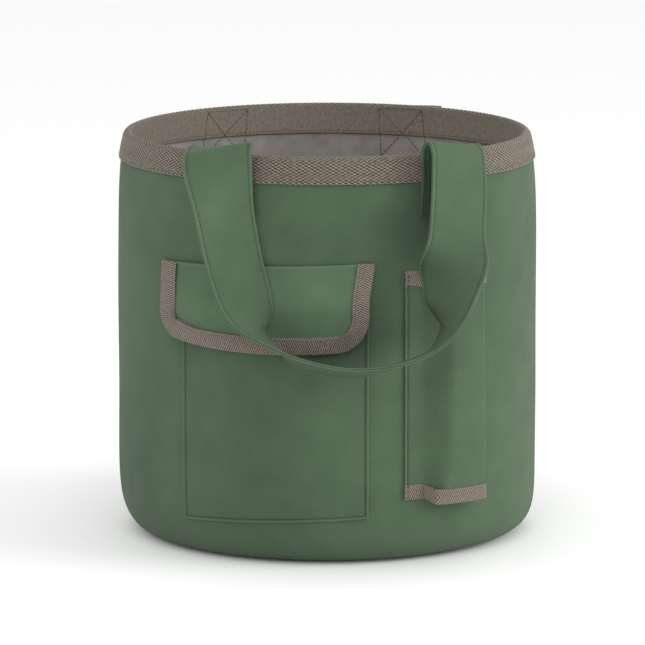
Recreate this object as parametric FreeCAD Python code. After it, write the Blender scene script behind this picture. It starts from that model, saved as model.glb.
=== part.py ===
import FreeCAD, Part

import math
import os

# A round fabric tote for garden work: a lined canvas cylinder with a webbing rim, two sewn
# strap handles that swing, a flap pocket and a tool sleeve that is open at both ends.
#
# Millimetres, +Z up. The origin is the centre of the base where it rests, and the pocket
# side faces -Y. An azimuth is measured around Z from the front, positive towards +X.

# Overall size
HEIGHT = 300.0
BODY_RADIUS = 156.3
NECK_TAKE_UP = 7.4  # how much the rim pulls the wall in
NECK_LENGTH = 22.0  # how quickly that fades below the rim
CORNER_RADIUS = 32.0  # roll of the wall under the base

# Cloth layers
CANVAS = 1.4
LINING = 0.8
WEBBING = 1.3
STIFFENER = 2.0
LAYER_GAP = 0.2

# Rim band, one webbing folded over the top edge
BAND_OUTSIDE = 20.0
BAND_INSIDE = 24.0
BAND_TOP_COVER = 1.3

# Handles: a doubled 50 mm strap
STRAP_WIDTH = 50.0
STRAP_THICKNESS = 3.0
END_LENGTH = 44.0
END_OFFSET = WEBBING + 4 * LAYER_GAP
FOLD_INNER_RADIUS = 0.8
FRONT_FOLD_HEIGHT = HEIGHT + 2.0  # the front folds stand up loosely over the rim
BACK_FOLD_HEIGHT = HEIGHT - 4.7  # the back folds are creased down to the rim's level
FOLD_LIP_DROP = 4.0  # from a fold's centre to where it ends outside and the free loop begins
FRONT_LEFT_AZIMUTH = -28.5
FRONT_RIGHT_AZIMUTH = 34.0
BACK_RIGHT_AZIMUTH = 157.2
BACK_LEFT_AZIMUTH = 211.4

# Box and cross stitching that holds each handle end
BOX_WIDTH = 38.0
BOX_LOW = 259.0
BOX_HIGH = 297.0
BACK_BOX_HIGH_OUTSIDE = 294.0  # below the back folds
THREAD_WIDTH = 0.8
THREAD_RISE = 0.4

# Patch pocket
POCKET_LEFT = -41.8
POCKET_RIGHT = 11.0
POCKET_BOTTOM = 34.0
POCKET_TOP = 192.0
POCKET_FULLNESS = 7.5
PATCH_CANVAS = 1.0
POCKET_FLOOR = 2.5

# Binding tape on the open edges
TAPE = 1.0
TAPE_WIDTH = 12.0

# Pocket flap
FLAP_LEFT = -49.0
FLAP_RIGHT = 12.2
FLAP_TOP = 221.0
FLAP_KNEE = 195.0  # where the flap rounds over the mouth of the pocket
FLAP_BOTTOM = 160.0
FLAP_CORNER = 18.0
FLAP_TOP_OFFSET = 1.3
FLAP_KNEE_OFFSET = 10.8
FLAP_BOTTOM_OFFSET = 11.6
TAPE_PROUD = 0.8  # the tape's fold beyond the edge that it covers

# Tool sleeve
SLEEVE_LEFT = 20.8
SLEEVE_RIGHT = 47.2
SLEEVE_BOTTOM = 48.5
SLEEVE_TOP = 216.0
SLEEVE_FULLNESS = 14.0

SEW_IN = 2.5  # distance of a seam from the edge of a patch
THREAD_CLEARANCE = 0.15
BOWED_THREAD_CLEARANCE = 0.6  # a straight row beside a bowed patch
LOOP_STEPS = 3  # sections from one station of the hanging loop to the next
LOOP_RADIUS = 155.0  # where the free loop meets its folded ends, from the bag's axis
Z_STEP = 6.0
Z_AXIS = FreeCAD.Vector(0, 0, 1)
ORIGIN = FreeCAD.Vector(0, 0, 0)

# The hanging loop of a handle. Each station is how far it lies from the left end to the
# right end, how far it stands out beyond the line between them, its height, and the
# direction from the strap's inner edge to its outer edge, seen from outside the bag. The
# heights are the front loop's; the back one hangs lower, as its folds do.
LOOP = [
    (-0.030, 19.9, 295.5, (-0.965, 0.14, -0.13)),
    (-0.004, 29.8, 268.4, (-0.86, 0.52, -0.01)),
    (0.041, 37.1, 232.3, (-0.81, 0.59, 0.02)),
    (0.086, 44.4, 207.0, (-0.78, 0.63, 0.02)),
    (0.120, 50.2, 192.7, (-0.66, 0.75, 0.01)),
    (0.145, 54.5, 183.4, (-0.42, 0.90, 0.03)),
    (0.171, 57.4, 176.6, (-0.16, 0.98, 0.09)),
    (0.312, 59.2, 160.1, (-0.03, 0.94, 0.28)),
    (0.486, 58.5, 152.2, (0.0, 0.95, 0.28)),
    (0.629, 57.8, 151.0, (0.0, 0.96, 0.26)),
    (0.784, 58.6, 156.4, (0.02, 0.98, 0.175)),
    (0.922, 58.5, 165.6, (0.05, 0.98, 0.16)),
    (0.985, 55.9, 178.3, (0.13, 0.99, 0.01)),
    (0.990, 52.4, 186.5, (0.37, 0.93, 0.0)),
    (0.993, 47.9, 197.4, (0.66, 0.75, 0.0)),
    (1.011, 39.1, 211.5, (0.85, 0.52, 0.0)),
    (1.039, 28.8, 238.8, (0.86, -0.51, 0.01)),
    (1.052, 18.9, 268.5, (0.80, -0.59, 0.0)),
    (1.052, 11.4, 295.0, (0.77, -0.63, -0.09)),
]


def at(azimuth, radius, z):
    """The point at an azimuth in degrees, a radius and a height."""
    turn = math.radians(azimuth)
    return FreeCAD.Vector(radius * math.sin(turn), -radius * math.cos(turn), z)


def degrees_for(length):
    """The azimuth that a length covers along the wall."""
    return math.degrees(length / BODY_RADIUS)


def wall_radius(z):
    """Outer radius of the canvas wall above the rolled base corner."""
    return BODY_RADIUS - NECK_TAKE_UP * math.exp(-(HEIGHT - z) / NECK_LENGTH)


def heights(low, high):
    """Evenly spaced heights from low to high, close enough to follow the wall."""
    count = max(2, math.ceil((high - low) / Z_STEP) + 1)
    return [low + (high - low) * i / (count - 1) for i in range(count)]


def face_of(points):
    return Part.Face(Part.makePolygon(points + points[:1]))


def sector(outline, start, end):
    """An outline of radius and height, turned about Z from one azimuth to another."""
    face = face_of([at(start, r, z) for r, z in outline])
    return face.revolve(ORIGIN, Z_AXIS, end - start)


def wall_strip(start, end, low, high, offset, thickness):
    """A strip that follows the wall at an offset from the canvas."""
    levels = heights(low, high)
    inner = [(wall_radius(z) + offset, z) for z in levels]
    outer = [(wall_radius(z) + offset + thickness, z) for z in reversed(levels)]
    return sector(inner + outer, start, end)


def shell_with_corner(depth, thickness, top):
    """A full wall, its skin a given depth inside the canvas face, rolled under at the base."""
    seam_radius = BODY_RADIUS - CORNER_RADIUS
    outer = CORNER_RADIUS - depth
    inner = outer - thickness
    middle = math.sqrt(0.5)

    def corner(radius):
        return [
            FreeCAD.Vector(0, -seam_radius, CORNER_RADIUS - radius),
            FreeCAD.Vector(0, -seam_radius - radius * middle, CORNER_RADIUS - radius * middle),
            FreeCAD.Vector(0, -seam_radius - radius, CORNER_RADIUS),
        ]

    def side(inset):
        levels = heights(CORNER_RADIUS, top)
        points = [at(0, wall_radius(z) - inset, z) for z in levels]
        points[0] = at(0, BODY_RADIUS - inset, CORNER_RADIUS)
        return points

    outer_side = side(depth)
    inner_side = side(depth + thickness)
    edges = [
        Part.Arc(*corner(outer)).toShape(),
        Part.makePolygon(outer_side),
        Part.makeLine(outer_side[-1], inner_side[-1]),
        Part.makePolygon(inner_side[::-1]),
        Part.Arc(*corner(inner)[::-1]).toShape(),
        Part.makeLine(corner(inner)[0], corner(outer)[0]),
    ]
    wire = Part.Wire([edge for shape in edges for edge in shape.Edges])
    return Part.Face(wire).revolve(ORIGIN, Z_AXIS, 360)


def disc(radius, low, thickness):
    return Part.makeCylinder(radius, thickness, FreeCAD.Vector(0, 0, low))


def outer_wall():
    return shell_with_corner(0.0, CANVAS, HEIGHT - BAND_TOP_COVER - LAYER_GAP)


def outer_base():
    return disc(BODY_RADIUS - CORNER_RADIUS - LAYER_GAP, 0.0, CANVAS)


def base_stiffener():
    return disc(BODY_RADIUS - CORNER_RADIUS - 3.0, CANVAS + LAYER_GAP, STIFFENER)


def wall_lining():
    top = HEIGHT - BAND_TOP_COVER - LAYER_GAP
    return shell_with_corner(CANVAS + LAYER_GAP, LINING, top)


def base_lining():
    low = CANVAS + STIFFENER + 2 * LAYER_GAP
    return disc(BODY_RADIUS - CORNER_RADIUS - LAYER_GAP, low, LINING)


def rim_band():
    """One webbing folded over the canvas and the lining all round the top edge."""
    wall = CANVAS + LAYER_GAP + LINING
    cover = HEIGHT - BAND_TOP_COVER
    outside = heights(HEIGHT - BAND_OUTSIDE, cover)
    inside = heights(HEIGHT - BAND_INSIDE, cover)
    crown = wall_radius(HEIGHT) - wall / 2
    outline = [(wall_radius(z) + LAYER_GAP + WEBBING, z) for z in outside]
    outline += [(crown + 1.5, HEIGHT), (crown - 1.5, HEIGHT)]
    outline += [(wall_radius(z) - wall - LAYER_GAP - WEBBING, z) for z in reversed(inside)]
    outline += [(wall_radius(z) - wall - LAYER_GAP, z) for z in inside]
    outline += [(wall_radius(z) + LAYER_GAP, z) for z in reversed(outside)]
    return sector(outline, 0, 360)


def handle_end(azimuth, fold_height):
    """The sewn end of a strap: flat on the wall, then folded outward at its top."""
    half = degrees_for(STRAP_WIDTH / 2)
    top = min(HEIGHT, fold_height)
    lip = fold_height - FOLD_LIP_DROP
    inner = wall_radius(top) + END_OFFSET
    centre = inner + STRAP_THICKNESS + FOLD_INNER_RADIUS
    turn_radius = FOLD_INNER_RADIUS + STRAP_THICKNESS
    low = HEIGHT - END_LENGTH
    levels = heights(low, top)

    def half_turn(radius, angles):
        return [
            (centre + radius * math.cos(a), fold_height + radius * math.sin(a))
            for a in angles
        ]

    angles = [math.pi * (1 - i / 8) for i in range(9)]
    outline = [(wall_radius(z) + END_OFFSET, z) for z in levels]
    outline += half_turn(turn_radius, angles)
    outline += [(centre + turn_radius, lip), (centre + FOLD_INNER_RADIUS, lip)]
    outline += half_turn(FOLD_INNER_RADIUS, angles[::-1])
    outline += [(wall_radius(z) + END_OFFSET + STRAP_THICKNESS, z) for z in reversed(levels)]
    return sector(outline, azimuth - half, azimuth + half)


def bar(azimuth, low, high, slant, offset):
    """One row of thread on a curved face: upright, or slanted as one arm of a cross."""
    reach = BOX_WIDTH / 2 if slant else THREAD_WIDTH / 2
    half = degrees_for(reach)
    patch = wall_strip(azimuth - half, azimuth + half, low, high, offset, THREAD_RISE)
    if not slant:
        return patch
    length = math.hypot(high - low, BOX_WIDTH) + 4
    deep = 40.0
    slab = Part.makeBox(THREAD_WIDTH, deep, length)
    slab.translate(FreeCAD.Vector(-THREAD_WIDTH / 2, -deep / 2, -length / 2))
    lean = slant * math.degrees(math.atan2(BOX_WIDTH, high - low))
    slab.rotate(ORIGIN, FreeCAD.Vector(0, 1, 0), lean)
    middle = (low + high) / 2
    slab.translate(FreeCAD.Vector(0, -wall_radius(middle), middle))
    slab.rotate(ORIGIN, Z_AXIS, azimuth)
    return patch.common(slab)


def box_and_cross(azimuth, high, offset):
    """The rows of thread that hold a handle end: four sides and a cross, as one group."""
    half = degrees_for(BOX_WIDTH / 2)
    edge = degrees_for(THREAD_WIDTH)
    rows = [
        wall_strip(azimuth - half, azimuth + half, BOX_LOW, BOX_LOW + THREAD_WIDTH, offset, THREAD_RISE),
        wall_strip(azimuth - half, azimuth + half, high - THREAD_WIDTH, high, offset, THREAD_RISE),
        bar(azimuth - half + edge / 2, BOX_LOW, high, 0, offset),
        bar(azimuth + half - edge / 2, BOX_LOW, high, 0, offset),
        bar(azimuth, BOX_LOW, high, 1, offset),
        bar(azimuth, BOX_LOW, high, -1, offset),
    ]
    return rows[0].fuse(rows[1:])


def handle_stitching(azimuth, outside_high):
    """Both faces of the stitching: on the strap end outside, and on the band and lining inside."""
    outside = box_and_cross(azimuth, outside_high, END_OFFSET + STRAP_THICKNESS + THREAD_CLEARANCE)
    wall = CANVAS + LAYER_GAP + LINING
    inside_offset = -wall - LAYER_GAP - WEBBING - THREAD_RISE - THREAD_CLEARANCE
    inside = box_and_cross(azimuth, BOX_HIGH, inside_offset)
    return Part.makeCompound(outside.Solids + inside.Solids)


def between(before, start, end, after, share):
    """A smooth curve from start to end that also heeds the stations beyond them."""
    square = share * share
    cube = square * share
    return (
        before * (-0.5 * share + square - 0.5 * cube)
        + start * (1 - 2.5 * square + 1.5 * cube)
        + end * (0.5 * share + 2 * square - 1.5 * cube)
        + after * (0.5 * cube - 0.5 * square)
    )


def loop_sections(left, right, facing):
    """Centres and width directions along a hanging loop, from its left end to its right end."""
    left_end = at(left, LOOP_RADIUS, 0) * facing
    right_end = at(right, LOOP_RADIUS, 0) * facing
    centres = []
    widths = []
    for share, out, z, (wide_x, wide_out, wide_z) in LOOP:
        centres.append(left_end * (1 - share) + right_end * share + FreeCAD.Vector(0, -out, z))
        widths.append(FreeCAD.Vector(wide_x, -wide_out, wide_z))
    last = len(LOOP) - 1
    sections = []
    for step in range(last * LOOP_STEPS + 1):
        i = min(step // LOOP_STEPS, last - 1)
        share = step / LOOP_STEPS - i
        near = [max(i - 1, 0), i, i + 1, min(i + 2, last)]
        centre = between(*[centres[k] for k in near], share)
        wide = between(*[widths[k] for k in near], share).normalize()
        sections.append((centre, wide))
    return sections


def handle_strap(left, right, facing, fold_height):
    """The free loop of a handle, hanging outside the bag between its two sewn ends."""
    sections = loop_sections(left, right, facing)
    wires = []
    for i, (centre, wide) in enumerate(sections):
        before = sections[max(i - 1, 0)][0]
        after = sections[min(i + 1, len(sections) - 1)][0]
        thick = (after - before).cross(wide).normalize()
        half_wide = wide * (STRAP_WIDTH / 2)
        half_thick = thick * (STRAP_THICKNESS / 2)
        corners = [
            centre + half_wide + half_thick,
            centre - half_wide + half_thick,
            centre - half_wide - half_thick,
            centre + half_wide - half_thick,
        ]
        wires.append(Part.makePolygon(corners + corners[:1]))
    strap = Part.makeLoft(wires, True, True)
    strap.translate(FreeCAD.Vector(0, 0, fold_height - FRONT_FOLD_HEIGHT))
    if facing < 0:
        strap.rotate(ORIGIN, Z_AXIS, 180)
    return strap


def bulge(start, end, low, high, near, far):
    """A patch sewn to the wall along two upright edges and standing off between them.

    near and far are its inner and outer faces, each as its offset from the canvas at the
    edges and how much further it stands off in the middle.
    """
    middle = (start + end) / 2

    def bow(edge, fullness):
        first = at(start, BODY_RADIUS + edge, low)
        top = at(middle, BODY_RADIUS + edge + fullness, low)
        last = at(end, BODY_RADIUS + edge, low)
        return first, Part.Arc(first, top, last).toShape(), last

    near_first, near_arc, near_last = bow(*near)
    far_first, far_arc, far_last = bow(*far)
    ends = [Part.makeLine(near_first, far_first), Part.makeLine(near_last, far_last)]
    wire = Part.Wire(Part.__sortEdges__([near_arc, far_arc] + ends))
    return Part.Face(wire).extrude(FreeCAD.Vector(0, 0, high - low))


def pocket_layer(low, high, offset, thickness):
    near = (offset, POCKET_FULLNESS)
    far = (offset + thickness, POCKET_FULLNESS)
    return bulge(POCKET_LEFT, POCKET_RIGHT, low, high, near, far)


def pocket_panel():
    """The patch pocket: full in the middle, open at the top and closed at the bottom."""
    panel = pocket_layer(POCKET_BOTTOM, POCKET_TOP, LAYER_GAP, PATCH_CANVAS)
    near = (LAYER_GAP, 0.0)
    far = (LAYER_GAP + PATCH_CANVAS, POCKET_FULLNESS)
    floor_top = POCKET_BOTTOM + POCKET_FLOOR
    floor = bulge(POCKET_LEFT, POCKET_RIGHT, POCKET_BOTTOM, floor_top, near, far)
    return panel.fuse([floor]).removeSplitter()


def pocket_mouth_tape():
    offset = LAYER_GAP + PATCH_CANVAS + THREAD_CLEARANCE
    return pocket_layer(POCKET_TOP - TAPE_WIDTH, POCKET_TOP, offset, TAPE)


def edge_rows(left, right, low, high, fullness):
    """The two upright rows of thread of a patch."""
    width = degrees_for(THREAD_WIDTH)
    inset = degrees_for(SEW_IN)
    reach = (SEW_IN + THREAD_WIDTH) / (math.radians(right - left) * BODY_RADIUS / 2)
    stand_off = fullness * (1 - (1 - reach) ** 2)
    offset = LAYER_GAP + PATCH_CANVAS + stand_off + BOWED_THREAD_CLEARANCE
    return [
        wall_strip(left + inset, left + inset + width, low, high, offset, THREAD_RISE),
        wall_strip(right - inset - width, right - inset, low, high, offset, THREAD_RISE),
    ]


def pocket_stitching():
    """Thread down both sides of the pocket and along its bottom."""
    low = POCKET_BOTTOM + SEW_IN
    rows = edge_rows(POCKET_LEFT, POCKET_RIGHT, low + 2, POCKET_TOP - TAPE_WIDTH - 1, POCKET_FULLNESS)
    offset = LAYER_GAP + PATCH_CANVAS + THREAD_CLEARANCE
    rows.append(pocket_layer(low - THREAD_WIDTH, low, offset, THREAD_RISE))
    return Part.makeCompound(rows)


def sleeve_layer(low, high, offset, thickness):
    near = (offset, SLEEVE_FULLNESS)
    far = (offset + thickness, SLEEVE_FULLNESS)
    return bulge(SLEEVE_LEFT, SLEEVE_RIGHT, low, high, near, far)


def sleeve_panel():
    return sleeve_layer(SLEEVE_BOTTOM, SLEEVE_TOP, LAYER_GAP, PATCH_CANVAS)


def sleeve_top_tape():
    offset = LAYER_GAP + PATCH_CANVAS + THREAD_CLEARANCE
    return sleeve_layer(SLEEVE_TOP - TAPE_WIDTH, SLEEVE_TOP, offset, TAPE)


def sleeve_bottom_tape():
    offset = LAYER_GAP + PATCH_CANVAS + THREAD_CLEARANCE
    return sleeve_layer(SLEEVE_BOTTOM, SLEEVE_BOTTOM + TAPE_WIDTH, offset, TAPE)


def sleeve_stitching():
    low = SLEEVE_BOTTOM + TAPE_WIDTH + 1
    high = SLEEVE_TOP - TAPE_WIDTH - 1
    return Part.makeCompound(edge_rows(SLEEVE_LEFT, SLEEVE_RIGHT, low, high, SLEEVE_FULLNESS))


def flap_slab(depth, thickness, margin, corner):
    """The flap's sheet, grown by a margin at its sides and bottom, with round lower corners."""
    radius = BODY_RADIUS + FLAP_BOTTOM_OFFSET
    spread = math.degrees(margin / radius)
    left = FLAP_LEFT - spread
    right = FLAP_RIGHT + spread
    low = FLAP_BOTTOM - margin
    inner = [
        (BODY_RADIUS + FLAP_TOP_OFFSET + depth, FLAP_TOP),
        (BODY_RADIUS + FLAP_KNEE_OFFSET + depth, FLAP_KNEE),
        (radius + depth, low),
    ]
    outer = [(r + thickness, z) for r, z in reversed(inner)]
    slab = sector(inner + outer, left, right)
    inset = math.degrees(corner / radius)
    waste_depth = 4 * STRAP_THICKNESS + thickness
    for azimuth, side in ((left + inset, -1), (right - inset, 1)):
        block = Part.makeBox(2 * corner, waste_depth, 2 * corner)
        x_low = 0 if side > 0 else -2 * corner
        block.translate(FreeCAD.Vector(x_low, -radius - waste_depth / 2, low - corner))
        centre = FreeCAD.Vector(0, -radius - waste_depth, low + corner)
        round_off = Part.makeCylinder(corner, 2 * waste_depth, centre, FreeCAD.Vector(0, 1, 0))
        waste = block.cut(round_off)
        waste.rotate(ORIGIN, Z_AXIS, azimuth)
        slab = slab.cut(waste)
    return slab


def flap_panel():
    return flap_slab(0.0, PATCH_CANVAS, 0.0, FLAP_CORNER)


def flap_tape():
    """Tape folded over the flap's two sides and its bottom edge."""
    whole = flap_slab(-TAPE, PATCH_CANVAS + 2 * TAPE, TAPE_PROUD, FLAP_CORNER + TAPE_PROUD)
    inset = TAPE_WIDTH - TAPE_PROUD
    window = flap_slab(-2 * TAPE, PATCH_CANVAS + 4 * TAPE, -inset, FLAP_CORNER - inset)
    return whole.cut(window).cut(flap_panel())


def flap_seam_stitching():
    """The row of thread that joins the top of the flap to the wall."""
    low = FLAP_TOP - SEW_IN
    slope = (FLAP_KNEE_OFFSET - FLAP_TOP_OFFSET) / (FLAP_TOP - FLAP_KNEE)
    offset = FLAP_TOP_OFFSET + slope * SEW_IN + PATCH_CANVAS + BOWED_THREAD_CLEARANCE
    inset = degrees_for(TAPE_WIDTH + 1)
    start = FLAP_LEFT + inset
    return wall_strip(start, FLAP_RIGHT - inset, low, low + THREAD_WIDTH, offset, THREAD_RISE)


def rim_band_stitching():
    """The row of thread near the band's lower edge, all the way round."""
    low = HEIGHT - BAND_OUTSIDE + SEW_IN
    offset = LAYER_GAP + WEBBING + THREAD_CLEARANCE
    return wall_strip(0, 360, low, low + THREAD_WIDTH, offset, THREAD_RISE)


HANDLE_ENDS = {
    "front_left": (FRONT_LEFT_AZIMUTH, FRONT_FOLD_HEIGHT, BOX_HIGH),
    "front_right": (FRONT_RIGHT_AZIMUTH, FRONT_FOLD_HEIGHT, BOX_HIGH),
    "back_right": (BACK_RIGHT_AZIMUTH, BACK_FOLD_HEIGHT, BACK_BOX_HIGH_OUTSIDE),
    "back_left": (BACK_LEFT_AZIMUTH, BACK_FOLD_HEIGHT, BACK_BOX_HIGH_OUTSIDE),
}

parts = {
    "outer_wall": outer_wall(),
    "outer_base": outer_base(),
    "base_stiffener": base_stiffener(),
    "wall_lining": wall_lining(),
    "base_lining": base_lining(),
    "rim_band": rim_band(),
    "rim_band_stitching": rim_band_stitching(),
    "front_handle_strap": handle_strap(FRONT_LEFT_AZIMUTH, FRONT_RIGHT_AZIMUTH, 1, FRONT_FOLD_HEIGHT),
    "back_handle_strap": handle_strap(BACK_RIGHT_AZIMUTH, BACK_LEFT_AZIMUTH, -1, BACK_FOLD_HEIGHT),
    "pocket_panel": pocket_panel(),
    "pocket_mouth_tape": pocket_mouth_tape(),
    "pocket_stitching": pocket_stitching(),
    "flap_panel": flap_panel(),
    "flap_tape": flap_tape(),
    "flap_seam_stitching": flap_seam_stitching(),
    "sleeve_panel": sleeve_panel(),
    "sleeve_top_tape": sleeve_top_tape(),
    "sleeve_bottom_tape": sleeve_bottom_tape(),
    "sleeve_stitching": sleeve_stitching(),
}
for place, (azimuth, fold_height, box_high) in HANDLE_ENDS.items():
    parts[f"{place}_handle_end"] = handle_end(azimuth, fold_height)
    parts[f"{place}_handle_stitching"] = handle_stitching(azimuth, box_high)

os.makedirs("parts", exist_ok=True)
for name, shape in parts.items():
    shape.exportStep(f"parts/{name}.step")
    print(f"{name}: {len(shape.Solids)} solids, {shape.Volume:.0f} mm3, valid {shape.isValid()}")
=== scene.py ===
import math

import bmesh
import bpy
import numpy as np
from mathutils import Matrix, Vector


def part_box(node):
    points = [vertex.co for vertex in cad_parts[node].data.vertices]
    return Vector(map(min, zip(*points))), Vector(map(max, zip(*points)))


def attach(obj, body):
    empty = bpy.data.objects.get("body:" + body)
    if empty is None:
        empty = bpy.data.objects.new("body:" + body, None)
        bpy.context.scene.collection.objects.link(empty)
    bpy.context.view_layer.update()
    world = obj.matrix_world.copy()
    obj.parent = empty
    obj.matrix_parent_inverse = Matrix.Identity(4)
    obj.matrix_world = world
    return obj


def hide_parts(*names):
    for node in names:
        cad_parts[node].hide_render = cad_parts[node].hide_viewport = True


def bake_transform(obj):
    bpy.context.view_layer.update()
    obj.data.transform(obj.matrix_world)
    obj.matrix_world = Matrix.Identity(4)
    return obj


# A lined round garden tote: a canvas wall with a webbing rim, a patch pocket with a taped
# flap, a tool sleeve, and two strap handles that fold over the rim. Lengths are in
# millimetres until a mesh is made, and azimuths are degrees from the front, -Y, towards +X.

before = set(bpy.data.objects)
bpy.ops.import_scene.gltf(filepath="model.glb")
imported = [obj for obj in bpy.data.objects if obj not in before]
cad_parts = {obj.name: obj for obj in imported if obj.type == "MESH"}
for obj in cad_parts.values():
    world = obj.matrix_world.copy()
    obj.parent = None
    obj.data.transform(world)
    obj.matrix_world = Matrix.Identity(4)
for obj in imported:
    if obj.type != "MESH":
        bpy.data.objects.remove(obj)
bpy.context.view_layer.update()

MM = 0.001
CLOTH_UNIT = 100.0  # millimetres of cloth to one unit of the "cloth" UV map


def box_mm(node):
    """The lowest and the highest corner of a CAD node, in millimetres."""
    return [[length / MM for length in corner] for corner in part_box(node)]


def side_azimuth(node, side, radius):
    """The azimuth of a CAD node's left (0) or right (1) side, at a radius."""
    return math.degrees(math.asin(box_mm(node)[side][0] / radius))


# The bag: a drum with a drawn-in neck and a rounded corner at the base
BAND_LOW, HEIGHT = (corner[2] for corner in box_mm("rim_band"))
BODY_RADIUS = box_mm("outer_wall")[1][0]
BASE_RADIUS = box_mm("outer_base")[1][0]
NECK_TAKE_UP = 7.4  # how much the rim band draws the wall in
NECK_LENGTH = 22.0
CORNER_DEPTH = 19.5  # how far the base corner has come in where it meets the ground
CORNER_RISE = 10.6
CORNER_RISE_CHANGE = -2.2  # the corner is tighter on the +X side
CORNER_TUCK = 8.0  # the last of the roll, close to the ground
CORNER_TUCK_RISE = 1.6

# Thicknesses and places of the layers
CANVAS = 1.4
LINING = 0.8
LAYER_GAP = 0.2
WEBBING = 1.3
PATCH = 1.1
LINING_OFFSET = CANVAS + LAYER_GAP
BAND_INNER_OFFSET = LINING_OFFSET + LINING + LAYER_GAP + WEBBING

# The rim webbing, whose crown is given as steps out from the canvas and up from the rim
BAND_OUTSIDE = 20.0
RIM_COLUMNS = 1308
RIM_CROWN = [
    (0.9, -1.2), (0.3, -0.45), (-0.5, -0.05), (-1.4, 0.0), (-2.3, -0.1), (-3.1, -0.6), (-3.7, -1.6),
]
WEBBING_COLUMN = 2.25
WEBBING_ROW = 2.27

# The binding tape
TAPE = 1.0
TAPE_WIDTH = 12.0
TAPE_PROUD = 0.6  # how far its fold stands beyond the edge
RIB = 1.7

# Stitches: the shape is a share of the length, the girth there and its lift
STITCH_LENGTH = 2.7
STITCH_PITCH = 3.5
STITCH_SIDES = 6
STITCH_SHAPE = [
    (-0.5, 0.35, -0.9), (-0.36, 0.85, -0.1), (0.0, 1.0, 0.1), (0.36, 0.85, -0.1), (0.5, 0.35, -0.9),
]
HEM = 2.6  # from a sewn edge to its row of stitches

# The straps
STRAP_WIDTH = 50.0
STRAP_THICKNESS = 3.0
SEAM_INSET = 3.0  # from a strap's edge to its row of stitches
FRONT_LEAN = 2.1  # degrees round the bag from the bottom of a front sewn end to its top
END_OFFSET = 2.1
END_LOW = box_mm("front_left_handle_end")[0][2]
TAB_LEVELS = (0.0, 0.2, 0.4, 0.6, 0.8, 1.0)  # stations up a sewn end, as shares of its height
STATION_STEPS = 12
LOOP_RADIUS = 155.0
BOX_WIDTH = 38.0
BOX_LOW = 259.0
BOX_HIGH = 297.0


# ---- curves and grids

def polar(azimuth, radius, z):
    """Points at azimuths in degrees, radii and heights, which may be arrays."""
    turn = np.radians(azimuth)
    x, y, z = np.broadcast_arrays(radius * np.sin(turn), -radius * np.cos(turn), z)
    return np.stack([x, y, z], axis=-1)


def smoothstep(low, high, value):
    share = np.clip((value - low) / (high - low), 0.0, 1.0)
    return share * share * (3 - 2 * share)


def unit(vectors):
    length = np.linalg.norm(vectors, axis=-1, keepdims=True)
    return vectors / np.maximum(length, 1e-9)


def smooth_curve(stations, steps):
    """A curve through every station, with a number of steps from each to the next."""
    stations = np.asarray(stations, float)
    padded = np.concatenate([stations[:1], stations, stations[-1:]])
    share = (np.arange(steps) / steps)[:, None]
    square = share ** 2
    cube = share ** 3
    spans = [
        before * (-0.5 * share + square - 0.5 * cube)
        + start * (1 - 2.5 * square + 1.5 * cube)
        + end * (0.5 * share + 2 * square - 1.5 * cube)
        + after * (0.5 * cube - 0.5 * square)
        for before, start, end, after in zip(padded, padded[1:], padded[2:], padded[3:])
    ]
    return np.concatenate(spans + [stations[-1:]])


def smoothed_tangent(points, passes):
    """The direction along a curve at each point, evened out."""
    tangent = unit(np.gradient(points, axis=0))
    for _ in range(passes):
        tangent[1:-1] = unit((tangent[:-2] + tangent[1:-1] + tangent[2:]) / 3)
    return tangent


def towards_front(normals):
    """The same normals, all turned round if they point to the back of the bag."""
    return -normals if normals[:, 1].mean() > 0 else normals


def lengths_along(points):
    steps = np.linalg.norm(np.diff(points, axis=0), axis=1)
    return np.concatenate([[0.0], np.cumsum(steps)])


def evenly(points, spacing):
    """The same curve with its points a spacing apart, and the length up to each."""
    along = lengths_along(points[:, :3])
    count = max(2, int(round(along[-1] / spacing)) + 1)
    wanted = np.linspace(0.0, along[-1], count)
    columns = [np.interp(wanted, along, points[:, k]) for k in range(points.shape[1])]
    return np.stack(columns, axis=1), wanted


def flat_grid(u, v):
    """Places on the flat cloth: u along the columns and v down the rows."""
    return np.stack(np.meshgrid(u, v), axis=-1)


def new_piece(name, points, faces):
    """A smooth object over points in millimetres."""
    mesh = bpy.data.meshes.new(name)
    mesh.from_pydata((points * MM).tolist(), [], faces)
    mesh.polygons.foreach_set("use_smooth", [True] * len(mesh.polygons))
    piece = bpy.data.objects.new(name, mesh)
    bpy.context.scene.collection.objects.link(piece)
    return piece


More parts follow.
